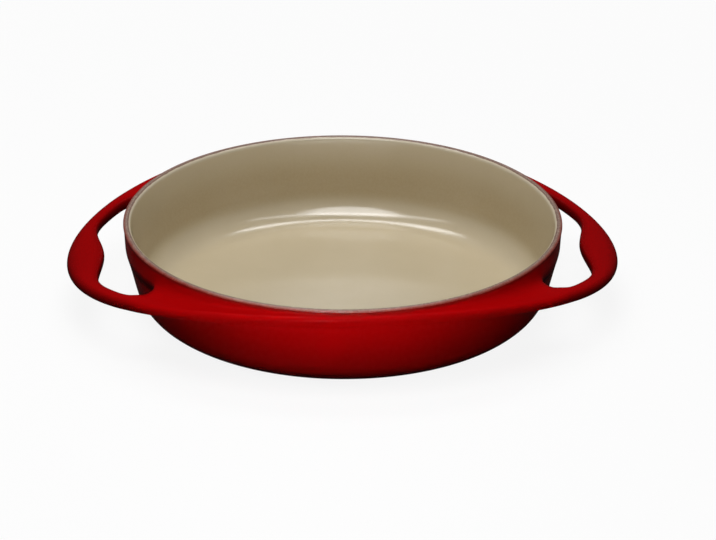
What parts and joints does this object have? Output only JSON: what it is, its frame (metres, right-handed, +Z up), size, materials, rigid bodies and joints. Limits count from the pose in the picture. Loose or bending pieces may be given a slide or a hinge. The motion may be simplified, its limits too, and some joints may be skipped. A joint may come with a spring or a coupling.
{
  "type": "tarte tatin dish",
  "caption": "Shallow round enamelled cast-iron tart dish with a flared wall, a collar under the lip and drooping loop handles cast in one with it.",
  "frame": {"origin": "centre of the flat underside, on the surface that the dish stands on", "axes": "+X along the line through both handles, +Y across it, +Z up out of the bowl"},
  "size_m": [0.3326, 0.2688, 0.055],
  "materials": {
    "cast_iron": "rough sand-cast iron, covered by the enamel",
    "red_enamel": "glossy red vitreous enamel, a little darker towards the base and on edges",
    "sand_enamel": "satin sand-coloured vitreous enamel",
    "grey_enamel": "thin matt grey-brown ground coat",
    "base_enamel": "satin dark red enamel with a fine texture"
  },
  "bodies": {
    "root": {"iron_casting": "cast_iron", "exterior_enamel": "red_enamel", "interior_enamel": "sand_enamel", "rim_enamel": "grey_enamel", "base_enamel": "base_enamel"}
  },
  "joints": []
}
